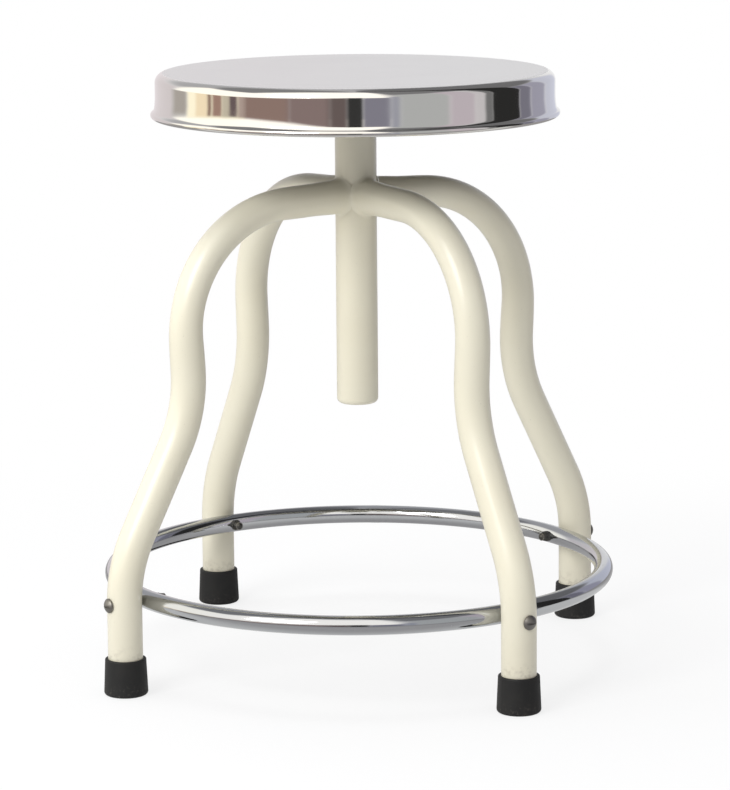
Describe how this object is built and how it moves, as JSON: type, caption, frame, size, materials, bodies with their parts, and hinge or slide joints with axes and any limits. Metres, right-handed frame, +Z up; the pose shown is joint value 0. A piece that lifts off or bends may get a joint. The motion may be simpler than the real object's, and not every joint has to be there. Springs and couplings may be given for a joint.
{
  "type": "medical stool",
  "caption": "Revolving medical stool: round polished steel seat on a lift screw, bent tube legs welded to a centre column, chrome foot ring and rubber shoes.",
  "frame": {"origin": "on the floor, on the axis of the column", "axes": "+Z up along the column, legs on the diagonals of X and Y, -Y to the front"},
  "size_m": [0.3824, 0.3824, 0.4416],
  "materials": {
    "cream_paint": "smooth semi-gloss powder coat, cream",
    "polished_stainless": "polished stainless sheet, mirror-bright rim and satin top",
    "chrome_plate": "bright plated tube",
    "black_rubber": "moulded black rubber",
    "zinc_fastener": "zinc-plated steel",
    "screw_steel": "machined steel, lightly oiled",
    "white_nylon": "plain nylon"
  },
  "bodies": {
    "frame": {"column_tube": "cream_paint", "leg_welds": "cream_paint", "lift_nut": "screw_steel", "thrust_washer": "white_nylon", "foot_ring": "chrome_plate", "ring_screws": "zinc_fastener", "ring_nuts": "zinc_fastener", "shoe_discs": "zinc_fastener", "leg_front_left": "cream_paint", "leg_front_right": "cream_paint", "leg_rear_left": "cream_paint", "leg_rear_right": "cream_paint", "shoe_front_left": "black_rubber", "shoe_front_right": "black_rubber", "shoe_rear_left": "black_rubber", "shoe_rear_right": "black_rubber"},
    "travel_stop": {"stop_washer": "screw_steel"},
    "seat": {"lift_screw": "screw_steel", "stop_nut": "screw_steel", "cotter_pin": "screw_steel", "seat_hub": "cream_paint", "hub_weld": "cream_paint", "seat_plate": "cream_paint", "seat_pan": "polished_stainless", "seat_studs": "zinc_fastener", "seat_washers": "zinc_fastener", "seat_nuts": "zinc_fastener"}
  },
  "joints": [
    {"name": "seat_lift", "type": "slide", "parent": "frame", "child": "travel_stop", "axis": [0, 0, 1], "range_m": [0, 0.15]},
    {"name": "seat_turn", "type": "hinge", "parent": "travel_stop", "child": "seat", "pos_m": [0, 0, 0.4], "axis": [0, 0, 1], "range_deg": [0, 9000]}
  ],
  "couplings": [
    {"joint": "seat_lift", "follows": "seat_turn", "m_per_rad": 0.00095493}
  ]
}
